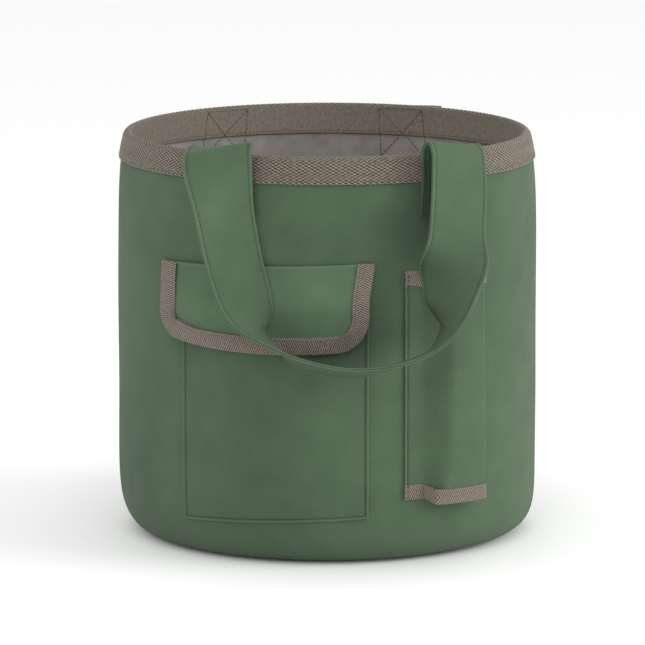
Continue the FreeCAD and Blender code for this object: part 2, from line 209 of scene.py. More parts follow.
def grid_piece(name, points, cloth, around=False, ring=False, edge=0.0, caps=False):
    """A mesh over a grid of points in millimetres, rows by columns.

    around joins the last column to the first, and ring the last row to the first. cloth
    holds each point's place on the flat cloth, with one more column or row where joined.
    edge is each point's painted tone: lighter above 0, for worn edges and painted highlights,
    and darker below 0, for painted shadow. caps closes both ends of a ring with flat faces.
    """
    rows, columns = points.shape[:2]
    down = np.arange(rows if ring else rows - 1)
    across = np.arange(columns if around else columns - 1)
    r, c = np.meshgrid(down, across, indexing="ij")
    corners = [(r, c), (r, c + 1), (r + 1, c + 1), (r + 1, c)]
    faces = np.stack([a % rows * columns + b % columns for a, b in corners], axis=-1)
    faces = faces.reshape(-1, 4).tolist()
    uv = np.stack([cloth[a, b] for a, b in corners], axis=2).reshape(-1, 2)
    if caps:
        first = [k * columns for k in range(rows)]
        faces += [first, [k + columns - 1 for k in first[::-1]]]
        uv = np.concatenate([uv, cloth[:rows, 0], cloth[:rows, -1][::-1]])
    piece = new_piece(name, points.reshape(-1, 3), faces)
    layer = piece.data.uv_layers.new(name="cloth")
    layer.data.foreach_set("uv", (uv / CLOTH_UNIT).astype(np.float32).ravel())
    shade = piece.data.attributes.new("edge", "FLOAT", "POINT")
    values = np.broadcast_to(edge, (rows, columns)).astype(np.float32)
    shade.data.foreach_set("value", values.ravel())
    return piece


def face_outwards(piece):
    """Turns the faces of a closed piece outwards, and keeps the caps of its ends flat."""
    work = bmesh.new()
    work.from_mesh(piece.data)
    bmesh.ops.recalc_face_normals(work, faces=work.faces)
    for cap in (face for face in work.faces if len(face.verts) > STITCH_SIDES):
        cap.smooth = False
        for rim in cap.edges:
            rim.smooth = False
    work.to_mesh(piece.data)
    work.free()
    return piece


def thicken(piece, thickness):
    """Gives a one-sided sheet its thickness, on the side away from its normals."""
    solid = piece.modifiers.new("thickness", "SOLIDIFY")
    solid.thickness = thickness * MM
    solid.offset = -1.0
    solid.use_quality_normals = True
    bpy.context.view_layer.update()
    shape = piece.evaluated_get(bpy.context.evaluated_depsgraph_get())
    mesh = bpy.data.meshes.new_from_object(shape)
    piece.modifiers.clear()
    piece.data = mesh
    return face_outwards(piece)


def place(piece, body, cloth, *nodes):
    """Rides the piece on its body, if it has only one, and hides the CAD nodes that it stands for.

    A cloth is a material and the name of its slot; the slot's name is not used.
    """
    material, slot = cloth
    piece.data.materials.clear()
    piece.data.materials.append(material)
    if body:
        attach(piece, body)
    if nodes:
        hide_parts(*nodes)
    return piece


# ---- the wall's surfaces

def wall_radius(azimuth, z):
    """The outside of the canvas: a drum drawn in at the rim and rounded at the base."""
    neck = NECK_TAKE_UP * np.exp(-(HEIGHT - z) / NECK_LENGTH)
    rise = CORNER_RISE + CORNER_RISE_CHANGE * np.sin(np.radians(azimuth))
    up = np.maximum(z, 0.0)
    corner = CORNER_DEPTH * np.exp(-up / rise) + CORNER_TUCK * np.exp(-up / CORNER_TUCK_RISE)
    return BODY_RADIUS - neck - corner + ripple(azimuth, z)


def ripple(azimuth, z):
    """The shallow waves of canvas that stands without anything in it."""
    turn = np.radians(azimuth)
    free = np.sin(np.pi * np.clip(z / HEIGHT, 0, 1)) ** 1.2
    wide = 0.55 * np.sin(2 * turn + 0.9) + 0.35 * np.sin(3 * turn - z / 70.0)
    narrow = 0.22 * np.sin(7 * turn + z / 31.0) + 0.16 * np.sin(11 * turn - z / 23.0 + 1.0)
    return free * (wide + narrow)


def wall_face(azimuth, z, offset=0.0):
    return polar(azimuth, wall_radius(azimuth, z) + offset, z)


def lining_sag(azimuth, z):
    """How far the loose lining hangs in from the canvas, in soft upright folds."""
    turn = np.radians(azimuth)
    loose = smoothstep(HEIGHT - 22, HEIGHT - 60, z) * smoothstep(2, 40, z)
    folds = 0.5 + 0.5 * np.sin(9 * turn + 1.6 * np.sin(2 * turn) + z / 45.0)
    creases = 0.5 + 0.5 * np.sin(23 * turn + 2.0 * np.sin(5 * turn) - z / 19.0)
    slack = 0.5 + 0.5 * np.sin(z / 26.0 + 2 * turn)
    return loose * (2.6 * folds ** 1.5 + 1.2 * creases ** 2 + 1.0 * slack)


WALL_HEIGHTS = np.concatenate([
    [0.15, 0.7, 1.6, 2.8, 4.2, 6.0, 8.0, 10.5, 13.5, 17.0, 21.0, 25.5, 30.0, 35.0],
    np.arange(40.0, 262.0, 6.0),
    np.arange(264.0, 297.0, 4.0),
    [298.4],
])


def skin(name, depth, sag, seam, thickness):
    """A whole wall from its seam at the base to its top, at a depth inside the canvas."""
    azimuths = np.arange(-180.0, 180.0, 0.75)
    rows = [
        polar(azimuths, BASE_RADIUS + LAYER_GAP, seam),
        polar(azimuths, BASE_RADIUS + 2.0, 0.6 * seam + 0.4 * depth),
    ]
    for z in WALL_HEIGHTS:
        radius = wall_radius(azimuths, z)
        slope = (wall_radius(azimuths, z + 0.1) - radius) / 0.1
        across = depth / np.sqrt(1 + slope ** 2)
        rows.append(polar(azimuths, radius - across - sag(azimuths, z), z + across * slope))
    points = np.stack(rows)
    along = np.radians(np.append(azimuths, azimuths[0] + 360)) * BODY_RADIUS
    piece = grid_piece(name, points, flat_grid(along, lengths_along(points[:, 0])), around=True)
    return thicken(piece, thickness)


def round_panel(name, top, thickness, wave):
    """A flat round panel of the base with a shallow wave and a slightly raised sewn edge."""
    edge = BASE_RADIUS
    radii = np.append(np.linspace(0.5, edge - 8, 26), np.linspace(edge - 6, edge, 7))[:, None]
    azimuths = np.arange(0.0, 360.0, 3.0)
    swell = np.sin(3 * np.radians(azimuths) + radii / 20) * np.sin(radii / 17.0) * wave
    points = polar(azimuths, radii, top + np.minimum(swell, 0) * smoothstep(0, 30, edge - radii))
    flat = polar(np.append(azimuths, 360.0), radii, 0.0)[..., :2]
    piece = grid_piece(name, points[:, ::-1], flat[:, ::-1], around=True)
    work = bmesh.new()
    work.from_mesh(piece.data)
    hole = [e for e in work.edges if e.is_boundary and e.verts[0].co.xy.length < 0.001]
    bmesh.ops.contextual_create(work, geom=hole)
    bmesh.ops.recalc_face_normals(work, faces=work.faces)
    work.to_mesh(piece.data)
    work.free()
    if piece.data.polygons[0].normal.z < 0:
        piece.data.flip_normals()
    return thicken(piece, thickness)


# ---- webbing and tape

def woven(u, v):
    """Height of the rim webbing's coarse weave: staggered knuckles, from -1 to 1."""
    return np.cos(np.pi * u / WEBBING_COLUMN) * np.cos(2 * np.pi * v / WEBBING_ROW)


def rim_webbing():
    """The webbing folded over the top edge, with the knuckles of its weave outside."""
    azimuths = np.linspace(-180.0, 180.0, RIM_COLUMNS, endpoint=False)[None, :]
    lip = HEIGHT - BAND_OUTSIDE + 0.3
    outside = np.arange(lip, HEIGHT - 2.2, WEBBING_ROW / 6)
    inside = np.arange(HEIGHT - 3.0, BAND_LOW, -1.8)
    back_up = (BAND_LOW, BAND_LOW + 8, BAND_LOW + 16, HEIGHT - 1.7)
    back_down = (HEIGHT - 1.7, HEIGHT - 8, HEIGHT - 14, lip)
    # Each row: how far it lies outside the canvas, its height, and the strength of its weave.
    profile = [(LAYER_GAP + WEBBING, z, 1.0) for z in outside]
    profile += [(out, HEIGHT + up, 0.7) for out, up in RIM_CROWN]
    profile += [(-BAND_INNER_OFFSET, z, 0.35) for z in inside]
    profile += [(-BAND_INNER_OFFSET, BAND_LOW, 0.0)]
    profile += [(-BAND_INNER_OFFSET + WEBBING, z, 0.0) for z in back_up]
    profile += [(LAYER_GAP, z, 0.0) for z in back_down]
    offset, level, strength = np.array(profile).T[..., None]
    flat = np.hstack([wall_radius(0.0, level) + offset, level])
    along = lengths_along(flat)
    slope = unit(np.gradient(flat, axis=0))
    around = round(math.pi * BODY_RADIUS / WEBBING_COLUMN) * 2 * WEBBING_COLUMN
    u = azimuths / 360.0 * around
    relief = strength * (0.30 * woven(u, along[:, None]) + 0.06)
    scallop = 0.25 * np.cos(np.pi * u / WEBBING_COLUMN) * (np.abs(level - lip) < 0.4)
    radius = wall_radius(azimuths, level) + offset + slope[:, 1:] * relief
    points = polar(azimuths, radius, level - slope[:, :1] * relief + scallop)
    cloth = flat_grid(np.append(u[0], u[0, 0] + around), np.append(along, along[-1] + 1.0))
    piece = grid_piece("rim_webbing", points, cloth, around=True, ring=True)
    return face_outwards(piece)


def rib_height(s, w):
    """Height of a tape's fine ribs, s along it and w across it from its middle."""
    return np.cos(2 * np.pi * (s + 0.55 * np.abs(w)) / RIB)


def folded_tape(name, path, inward, outward, width):
    """A binding tape folded over an edge of patch canvas.

    path runs along the edge, inward points from it into the cloth, and outward is the
    cloth's normal. The tape covers a width on each face.
    """
    along = lengths_along(path)
    reach = np.concatenate([np.arange(width, 0.4, -0.5), [0.25]])
    half = PATCH / 2 + TAPE
    inner = PATCH / 2 + 0.15
    full = math.sin(math.radians(75))
    face = [(w, half) for w in reach]
    bend = [(-TAPE_PROUD * math.cos(t), half * math.sin(t) / full)
            for t in np.radians([60, 30, 0, -30, -60])]
    under = [(w, -half) for w in reach[::-1][::2]]
    hidden = [(width, -inner), (1.2, -inner), (1.2, inner), (width, inner)]
    section = np.array(face + bend + under + hidden)
    w, out = section[:, :1], section[:, 1:]
    counts = [len(face), len(bend), len(under), len(hidden)]
    ribs = np.repeat([1.0, 0.0, -1.0, 0.0], counts)[:, None]
    relief = 0.14 * rib_height(along[None, :], w - width / 2) * ribs
    lip = 0.25 * np.cos(np.pi * along[None, :] / RIB) * (w > width - 0.3)
    lip[-len(hidden):] = 0.0
    points = path + (w + lip)[..., None] * inward + (out + relief)[..., None] * outward
    across = lengths_along(section)
    cloth = flat_grid(along, np.append(across, across[-1] + 1.0) - width / 2)
    # The tape's free edge is painted lighter: a worn edge and a painted highlight along its lip.
    edge = 0.4 * (w > width - 0.7)
    piece = grid_piece(name, points, cloth, ring=True, edge=edge, caps=True)
    return face_outwards(piece)


# ---- stitches

def stitch_rows(name, rows, width=0.85, rise=0.42, length=STITCH_LENGTH, pitch=STITCH_PITCH):
    """Separate stitches along rows, each a path of points and the cloth's normals there."""
    template = []
    for share, girth, lift in STITCH_SHAPE:
        for t in np.radians(np.arange(STITCH_SIDES) * 360 / STITCH_SIDES):
            side = math.cos(t) * girth * width / 2
            up = math.sin(t) * girth * rise + lift * rise
            template.append((share * length, side, up))
    template = np.array(template)
    last = len(template) - STITCH_SIDES
    sides = range(STITCH_SIDES)
    shape = [[base + j, base + (j + 1) % STITCH_SIDES,
              base + STITCH_SIDES + (j + 1) % STITCH_SIDES, base + STITCH_SIDES + j]
             for base in range(0, last, STITCH_SIDES) for j in sides]
    shape += [list(sides)[::-1], [last + j for j in sides]]
    stitches = []
    for path, normals in rows:
        path, along = evenly(np.concatenate([path, normals], axis=1), 0.5)
        number = int(along[-1] // pitch)
        for middle in (np.arange(number) + 0.5) * along[-1] / max(number, 1):
            k = min(int(middle / along[-1] * (len(along) - 1)), len(along) - 2)
            tangent = unit(path[min(k + 2, len(path) - 1), :3] - path[max(k - 2, 0), :3])
            side = unit(np.cross(unit(path[k, 3:]), tangent))
            basis = np.stack([tangent, side, np.cross(tangent, side)])
            stitches.append(path[k, :3] + template @ basis)
    starts = range(0, len(stitches) * len(template), len(template))
    faces = [[start + i for i in face] for start in starts for face in shape]
    piece = new_piece(name, np.concatenate(stitches), faces)
    return face_outwards(piece)


def upward_row(azimuth, low, high, surface):
    """A row of stitches up a surface at one azimuth, or between two azimuths."""
    start, end = (azimuth, azimuth) if np.isscalar(azimuth) else azimuth
    count = int(abs(high - low) + abs(end - start) * 2.7) + 2
    azimuths = np.linspace(start, end, count)
    return surface(azimuths, np.linspace(low, high, count)), polar(azimuths, 1.0, 0.0)


# ---- pocket

POCKET_LEFT, POCKET_RIGHT = (
    side_azimuth("pocket_panel", side, BODY_RADIUS + PATCH) for side in (0, 1)
)
POCKET_LOW, POCKET_HIGH = (corner[2] for corner in box_mm("pocket_panel"))
POCKET_FULLNESS = 6.6


def pocket_bottom(azimuth):
    """The pocket's lower edge, which rises a little towards its right side."""
    share = (azimuth - POCKET_LEFT) / (POCKET_RIGHT - POCKET_LEFT)
    return POCKET_LOW - 5.6 + 7.6 * share


def pocket_stand_off(azimuth, z):
    """How far the pocket's front stands off the wall."""
    middle = (POCKET_LEFT + POCKET_RIGHT) / 2
    half = (POCKET_RIGHT - POCKET_LEFT) / 2
    inset = 1 - np.abs(azimuth - middle) / half
    up = z - pocket_bottom(azimuth)
    across = smoothstep(0.03, 0.75, inset)
    rise = 0.25 + 0.75 * smoothstep(10, 120, up)
    shallow = smoothstep(2.5, 16, up)
    puckers = 0.16 * np.sin(z / 3.1) * smoothstep(0.14, 0.0, np.abs(inset - 0.09))
    waves = 0.5 * np.sin(z / 33.0 + azimuth / 9.0) * across * shallow
    return POCKET_FULLNESS * across * rise * shallow + puckers + waves


def pocket_face(azimuth, z, offset=0.0):
    return wall_face(azimuth, z, LAYER_GAP + PATCH + pocket_stand_off(azimuth, z) + offset)


def turned_edge(distance):
    """Extra height of a hem, turned under and sewn: a ridge, then the dip of its seam."""
    ridge = 0.55 * smoothstep(0.0, 0.5, distance) * smoothstep(2.2, 1.2, distance)
    return ridge - 0.30 * np.exp(-((distance - HEM) / 0.5) ** 2)


def hem_worn_highlit_shaded(distance):
    """Lighter on a hem's ridge, above 0, for a worn edge and a painted highlight, and painted
    shadow in its row of stitches, below 0.
    """
    return 0.7 * smoothstep(2.0, 0.6, distance) - 0.8 * np.exp(-((distance - HEM) / 0.55) ** 2)


def fine_edges(length, step):
    """Values from 0 to a length, a step apart but close together near both ends."""
    near = np.arange(0.0, 4.5, 0.45)
    middle = np.linspace(4.5, length - 4.5, max(2, int(length / step)))
    return np.concatenate([near, middle, length - near[::-1]])


def pocket_front():
    width = math.radians(POCKET_RIGHT - POCKET_LEFT) * BODY_RADIUS
    height = POCKET_HIGH - POCKET_LOW
    s, t = np.meshgrid(fine_edges(width, 2.2), fine_edges(height, 3.0))
    azimuth = POCKET_LEFT + np.degrees(s / BODY_RADIUS)
    low = pocket_bottom(azimuth)
    distance = np.minimum(np.minimum(s, width - s), t)
    points = pocket_face(azimuth, low + t / height * (POCKET_HIGH - low), turned_edge(distance))
    piece = grid_piece("pocket_front", points, np.stack([s, t], -1), edge=hem_worn_highlit_shaded(distance))
    return thicken(piece, PATCH)


def pocket_stitches():
    margin = math.degrees(HEM / BODY_RADIUS)
    left, right = POCKET_LEFT + margin, POCKET_RIGHT - margin
    left_low, right_low = pocket_bottom(left) + HEM, pocket_bottom(right) + HEM
    high = POCKET_HIGH - TAPE_WIDTH
    spans = [(left, left_low, high), (right, right_low, high), ((left, right), left_low, right_low)]
    rows = [upward_row(*span, lambda azimuth, z: pocket_face(azimuth, z, -0.25)) for span in spans]
    return stitch_rows("pocket_stitches", rows)


def pocket_mouth_binding():
    azimuth = np.linspace(POCKET_LEFT, POCKET_RIGHT, 420)
    path = pocket_face(azimuth, POCKET_HIGH - 0.8, -PATCH / 2)
    inward = np.broadcast_to([0.0, 0.0, -1.0], path.shape)
    outward = polar(azimuth, 1.0, 0.0)
    return folded_tape("pocket_mouth_binding", path, inward, outward, TAPE_WIDTH - 1.0)


# ---- flap

FLAP_LOW, FLAP_HIGH = (corner[2] for corner in box_mm("flap_panel"))
FLAP_REACH = BODY_RADIUS + 12.6
FLAP_LEFT, FLAP_RIGHT = (side_azimuth("flap_panel", side, FLAP_REACH) for side in (0, 1))
FLAP_WIDTH = math.radians(FLAP_RIGHT - FLAP_LEFT) * FLAP_REACH
FLAP_CORNER_LEFT = 22.0
FLAP_CORNER_RIGHT = 26.0


def flap_top(s):
    """Height of the flap's seam, which rises a little towards its right end."""
    return FLAP_HIGH - 3.0 + 5.5 * s / FLAP_WIDTH


def flap_bottom(s):
    """Height of the flap's lower edge, lowest right of its middle."""
    share = s / FLAP_WIDTH
    return FLAP_LOW - 1.0 + 3.0 * (share - 0.62) ** 2 / 0.15


def flap_surface(s, z, offset=0.0):
    """The flap's middle sheet: sewn to the wall at its top and lying over the full pocket."""
    fall = (flap_top(s) - z) / (FLAP_HIGH - FLAP_LOW)
    share = s / FLAP_WIDTH
    narrowing = 3.6 * smoothstep(0.0, 0.5, fall)
    azimuth = FLAP_LEFT + (FLAP_RIGHT - FLAP_LEFT) * share + narrowing * (0.5 - share)
    middle = 1 - np.abs(2 * s / FLAP_WIDTH - 1)
    over = 6.5 + 4.0 * smoothstep(0.0, 0.6, middle)
    lift = 1.6 + over * smoothstep(-0.05, 0.55, fall) + 0.8 * np.clip(fall, 0, 1)
    wave = 0.45 * np.sin(s / 21.0 + z / 40.0) * smoothstep(0.1, 0.6, fall)
    roll = -1.2 * smoothstep(0.82, 1.02, fall)
    return wall_face(azimuth, z, lift + wave + roll + offset)


def flap_outline(margin):
    """The flap's sides and bottom with round corners, inset by a margin, as s and z."""
    left, right = margin, FLAP_WIDTH - margin

    def corner(middle, radius, turns):
        centre = np.array([middle, flap_bottom(middle) + margin + radius])
        return [centre + radius * np.array([math.cos(t), math.sin(t)])
                for t in np.radians(np.linspace(*turns, 14))]

    small, large = FLAP_CORNER_LEFT - margin, FLAP_CORNER_RIGHT - margin
    left_low = flap_bottom(left) + FLAP_CORNER_LEFT + 0.5
    right_low = flap_bottom(right) + FLAP_CORNER_RIGHT + 0.5
    points = [(left, z) for z in np.linspace(flap_top(left), left_low, 12)]
    points += corner(left + small, small, (180, 270))
    bottom = np.linspace(left + small + 3, right - large - 3, 30)
    points += [(s, flap_bottom(s) + margin) for s in bottom]
    points += corner(right - large, large, (270, 360))
    points += [(right, z) for z in np.linspace(right_low, flap_top(right), 12)]
    points = np.array(points)
    apart = np.linalg.norm(np.diff(points, axis=0), axis=1) > 0.3
    return smooth_curve(points[np.append(True, apart)], 4)


def side_at(outline, z, side):
    """Where the outline's left (-1) or right (1) side is at a height."""
    lowest = int(np.argmin(outline[:, 1]))
    half = outline[:lowest + 1] if side < 0 else outline[lowest:]
    order = np.argsort(half[:, 1])
    return np.interp(z, half[order, 1], half[order, 0])


def flap_front():
    """The flap's canvas, inside the fold of its binding, with its top edge over the seam."""
    outline = flap_outline(0.8)
    share = np.linspace(0, 1, 46)[:, None]
    top = flap_top(0.0)
    level = top + (outline[:, 1].min() + 0.2 - top) * share
    left, right = (side_at(outline, level, side) for side in (-1, 1))
    s = left + (right - left) * np.linspace(0, 1, 72)[None, :]
    z = level + (flap_top(s) - top) * (1 - share) ** 1.5
    below = flap_top(s) - z
    points = flap_surface(s, z, PATCH / 2 + 0.5 * np.exp(-(below / 1.2) ** 2))
    # The flap's top fold is painted lighter: a worn edge and a painted highlight.
    worn_and_highlit = 0.8 * np.exp(-(below / 1.5) ** 2)
    piece = grid_piece("flap_front", points[::-1], np.stack([s, z], -1)[::-1], edge=worn_and_highlit[::-1])
    return thicken(piece, PATCH)


def flap_path():
    """Points along the flap's edge, with directions into the cloth and out of it.

    The inward directions are longer at the left, where the tape is folded wider.
    """
    outline, _ = evenly(flap_outline(0.0), 0.42)
    s, z = outline.T
    tangent = unit(np.gradient(outline, axis=0))
    for _ in range(12):
        tangent[1:-1] = (tangent[:-2] + 2 * tangent[1:-1] + tangent[2:]) / 4
    tangent = unit(tangent)
    path = flap_surface(s, z)
    inward = unit(flap_surface(s - tangent[:, 1], z + tangent[:, 0]) - path)
    reach = 1.1 + 0.35 * (1 - smoothstep(0.0, 45.0, s))
    outward = towards_front(unit(np.cross(unit(np.gradient(path, axis=0)), inward)))
    return path, inward * reach[:, None], outward


def flap_binding():
    return folded_tape("flap_binding", *flap_path(), TAPE_WIDTH - 1.0)


def flap_stitches():
    """The row along the binding's inner edge."""
    path, inward, outward = flap_path()
    inner = path + inward * (TAPE_WIDTH - 3.0) + outward * (PATCH / 2 + TAPE + 0.05)
    return stitch_rows("flap_stitches", [(inner[::3], outward[::3])], width=0.6, rise=0.3)


# ---- tool sleeve

SLEEVE_TAKE_IN = 2.0  # degrees by which the fullness draws in the right edge
SLEEVE_LEFT = side_azimuth("sleeve_panel", 0, BODY_RADIUS + LAYER_GAP)
SLEEVE_RIGHT = side_azimuth("sleeve_panel", 1, BODY_RADIUS + PATCH) - SLEEVE_TAKE_IN
SLEEVE_WIDTH = math.radians(SLEEVE_RIGHT - SLEEVE_LEFT) * BODY_RADIUS
SLEEVE_LOW, SLEEVE_HIGH = (corner[2] for corner in box_mm("sleeve_panel"))
SLEEVE_FULLNESS = 13.0
SLEEVE_FLAT = 0.23  # share of the width that lies flat beside the left seam
SLEEVE_SHARES = np.concatenate([
    np.linspace(0, 0.05, 12)[:-1], np.linspace(0.05, 0.20, 8)[:-1],
    np.linspace(0.20, 0.42, 26)[:-1], np.linspace(0.42, 0.84, 18)[:-1], np.linspace(0.84, 1, 16),
])


def sleeve_place(share, z):
    """Azimuth and stand-off of the sleeve at a share of its width and a height."""
    low = np.exp(-(z - SLEEVE_LOW) / 16.0)
    flat = SLEEVE_FLAT - 0.05 * (1 - low)
    rise = smoothstep(flat, flat + 0.32 - 0.24 * low, share)
    fall = 1 - smoothstep(0.86, 1.0, share) ** 1.6
    middle = 0.5 + 0.5 * np.sin(np.pi * np.clip((share - flat) / (1 - flat), 0, 1))
    waves = 0.5 * np.sin(z / 29.0 + share * 5.0)
    stand_off = (SLEEVE_FULLNESS * (0.72 + 0.28 * middle) + waves) * rise * fall
    return SLEEVE_LEFT + (SLEEVE_RIGHT - SLEEVE_LEFT) * share, stand_off


def sleeve_face(share, z, offset=0.0):
    azimuth, stand_off = sleeve_place(share, z)
    drop = 3.4 * np.clip(stand_off / SLEEVE_FULLNESS, 0, 1) * np.exp(-(z - SLEEVE_LOW) / 22.0)
    return wall_face(azimuth, z - drop, LAYER_GAP + PATCH + stand_off + offset)


def sleeve_front():
    heights = np.concatenate([
        np.arange(SLEEVE_LOW + 0.8, 80, 1.6), np.arange(80, SLEEVE_HIGH - 1.2, 4.0),
        [SLEEVE_HIGH - 0.8],
    ])
    share, z = np.meshgrid(SLEEVE_SHARES, heights)
    distance = np.minimum(share, 1 - share) * SLEEVE_WIDTH
    points = sleeve_face(share, z, turned_edge(distance))
    cloth = np.stack([share * SLEEVE_WIDTH * 1.25, z], -1)
    piece = grid_piece("sleeve_front", points, cloth, edge=hem_worn_highlit_shaded(distance))
    return thicken(piece, PATCH)


def sleeve_tape(name, height, up, crumple):
    """Tape folded over the sleeve's top (up 1) or bottom (up -1) edge."""
    fine = smooth_curve(np.column_stack([SLEEVE_SHARES, SLEEVE_SHARES]), 6)[:, 0]
    z = height + crumple * np.sin(fine * 21.0) * smoothstep(0, 0.05, fine)
    path, _ = evenly(sleeve_face(fine, z, -PATCH / 2), 0.45)
    along = smoothed_tangent(path, 3)
    inward = np.broadcast_to([0.0, 0.0, -1.0 * up], path.shape)
    outward = towards_front(unit(np.cross(along, inward)))
    return folded_tape(name, path, inward, outward, TAPE_WIDTH - 1.5)


def sleeve_stitches():
    heights = np.arange(SLEEVE_LOW + 1, SLEEVE_HIGH - 1, 1.0)
    on_tape = (heights < SLEEVE_LOW + TAPE_WIDTH) | (heights > SLEEVE_HIGH - TAPE_WIDTH)
    rows = []
    for share in (HEM / SLEEVE_WIDTH, 1 - HEM / SLEEVE_WIDTH):
        azimuth, _ = sleeve_place(share, heights)
        points = sleeve_face(share, heights, -0.25 + 1.3 * on_tape)
        rows.append((points, polar(np.broadcast_to(azimuth, heights.shape), 1.0, 0.0)))
    return stitch_rows("sleeve_stitches", rows)


# ---- handles

# The hanging loop of a handle. Each station is its share of the way from the left end to the
# right end, how far it stands out beyond the line between them, its height, the direction
# across the strap to its outer edge (to the right, outward, up), and its cupping.
LOOP = [
    (-0.030, 19.9, 295.5, (-0.965, 0.14, -0.13), 0.6),
    (-0.004, 29.8, 268.4, (-0.86, 0.52, -0.01), 0.8),
    (0.041, 37.1, 232.3, (-0.81, 0.59, 0.02), 1.0),
    (0.086, 44.4, 207.0, (-0.78, 0.63, 0.02), 1.4),
    (0.120, 50.2, 192.7, (-0.66, 0.75, 0.01), 1.8),
    (0.145, 54.5, 183.4, (-0.42, 0.90, 0.03), 1.6),
    (0.171, 57.4, 176.6, (-0.16, 0.98, 0.09), 1.2),
    (0.312, 59.2, 160.1, (-0.03, 0.94, 0.28), 1.0),
    (0.486, 58.5, 152.2, (0.0, 0.95, 0.28), 1.0),
    (0.629, 57.8, 151.0, (0.0, 0.96, 0.26), 1.0),
    (0.784, 58.6, 156.4, (0.02, 0.98, 0.175), 1.0),
    (0.922, 58.5, 165.6, (0.05, 0.98, 0.16), 1.0),
    (0.985, 55.9, 178.3, (0.13, 0.99, 0.01), 1.2),
    (0.990, 52.4, 186.5, (0.37, 0.93, 0.0), 1.8),
    (0.993, 47.9, 197.4, (0.66, 0.75, 0.0), 2.0),
    (1.011, 39.1, 211.5, (0.85, 0.52, 0.0), 1.6),
    (1.039, 28.8, 238.8, (0.86, -0.51, 0.01), 0.9),
    (1.052, 18.9, 268.5, (0.80, -0.59, 0.0), 0.5),
    (1.052, 11.4, 295.0, (0.77, -0.63, -0.09), 0.5),
]
# The fold over the rim: its share of the way from the sewn end to the loop, and of its rise.
CREST = [(0.03, 0.3), (0.20, 0.8), (0.45, 1.0), (0.72, 0.75), (0.92, -0.1)]
CREST_RISE = {"left": 4.0, "right": 4.1}
CREST_TILT = {"left": -0.15, "right": -0.16}
FRONT_FOLD = 302.0
BACK_FOLD = 295.3  # the back folds are creased down to the rim's level
BACK_CREST_RISE = 1.0

# The strap's cross-section from its middle to its edge: width from the middle and height.
SECTION = [
    (0, 1.05), (4, 1.05), (8, 1.06), (12, 1.08), (15.5, 1.1), (18.5, 1.1), (20.3, 1.06),
    (21.3, 0.9), (22.0, 0.76), (22.7, 0.88), (23.5, 1.08), (24.3, 1.18), (24.8, 1.12), (25.0, 0.85),
    (24.85, 0.45), (24.2, 0.0),
]


def strap_ring():
    """The whole cross-section as a ring: outer face from left to right, then the inner face."""
    top = [(-w, t) for w, t in SECTION[:0:-1]] + SECTION
    under = [(w, -t) for w, t in top[::-1]]
    return np.array(top + under[1:-1])


def lean(azimuth, z):
    """The front ends are sewn on a slant, leaning apart towards their tops."""
    if abs(azimuth) > 90:
        return azimuth
    share = (z - END_LOW) / (HEIGHT - END_LOW) - 0.15
    return azimuth + math.copysign(FRONT_LEAN, azimuth) * share


def tab_station(azimuth, z, outer_side):
    """Centre and width direction of a sewn end's station on the wall."""
    radius = wall_radius(0.0, z) + END_OFFSET + STRAP_THICKNESS / 2
    turn = math.radians(azimuth)
    return polar(azimuth, radius, z), np.array([math.cos(turn), math.sin(turn), 0.0]) * outer_side


def handle_stations(left, right, fold):
    """Centre, width direction and bow of every station, from one sewn end to the other."""
    loose = fold == FRONT_FOLD
    left_foot, right_foot = polar(left, LOOP_RADIUS, 0.0), polar(right, LOOP_RADIUS, 0.0)
    loop = []
    for share, out, z, (wide_x, wide_out, wide_z), cup in LOOP:
        lift = np.array([0.0, -out, z + fold - FRONT_FOLD])
        centre = left_foot * (1 - share) + right_foot * share + lift
        level = 0.0 if z > 290 and not loose else wide_z
        loop.append((centre, unit(np.array([wide_x, -wide_out, level])), -cup))
    tab_bow = STRAP_WIDTH ** 2 / 8 / (BODY_RADIUS - 4)
    heights = END_LOW + (min(HEIGHT, fold) - 1.0 - END_LOW) * np.array(TAB_LEVELS)

    def sewn_end(azimuth, side, start):
        stations = []
        for z in heights:
            on_wall = lean(azimuth, z) if loose else azimuth
            centre, wide = tab_station(on_wall, z, 1.0 if side == "right" else -1.0)
            stations.append((centre, wide, tab_bow))
        top, top_wide, _ = stations[-1]
        rise = CREST_RISE[side] if loose else BACK_CREST_RISE
        tilt = CREST_TILT[side] if loose else 0.0
        for share, lift in CREST:
            centre = top * (1 - share) + start[0] * share
            centre[2] = fold - 1.0 + (rise + 1.0) * lift
            wide = top_wide * (1 - share) + start[1] * share
            wide[2] = tilt * smoothstep(0.0, 0.4, share)
            bow = tab_bow * smoothstep(0.35, 0.0, share) + start[2] * share
            stations.append((centre, unit(wide), bow))
        return stations

    before = sewn_end(left, "left", loop[0])
    after = sewn_end(right, "right", loop[-1])[::-1]
    return before + loop + after, len(before)


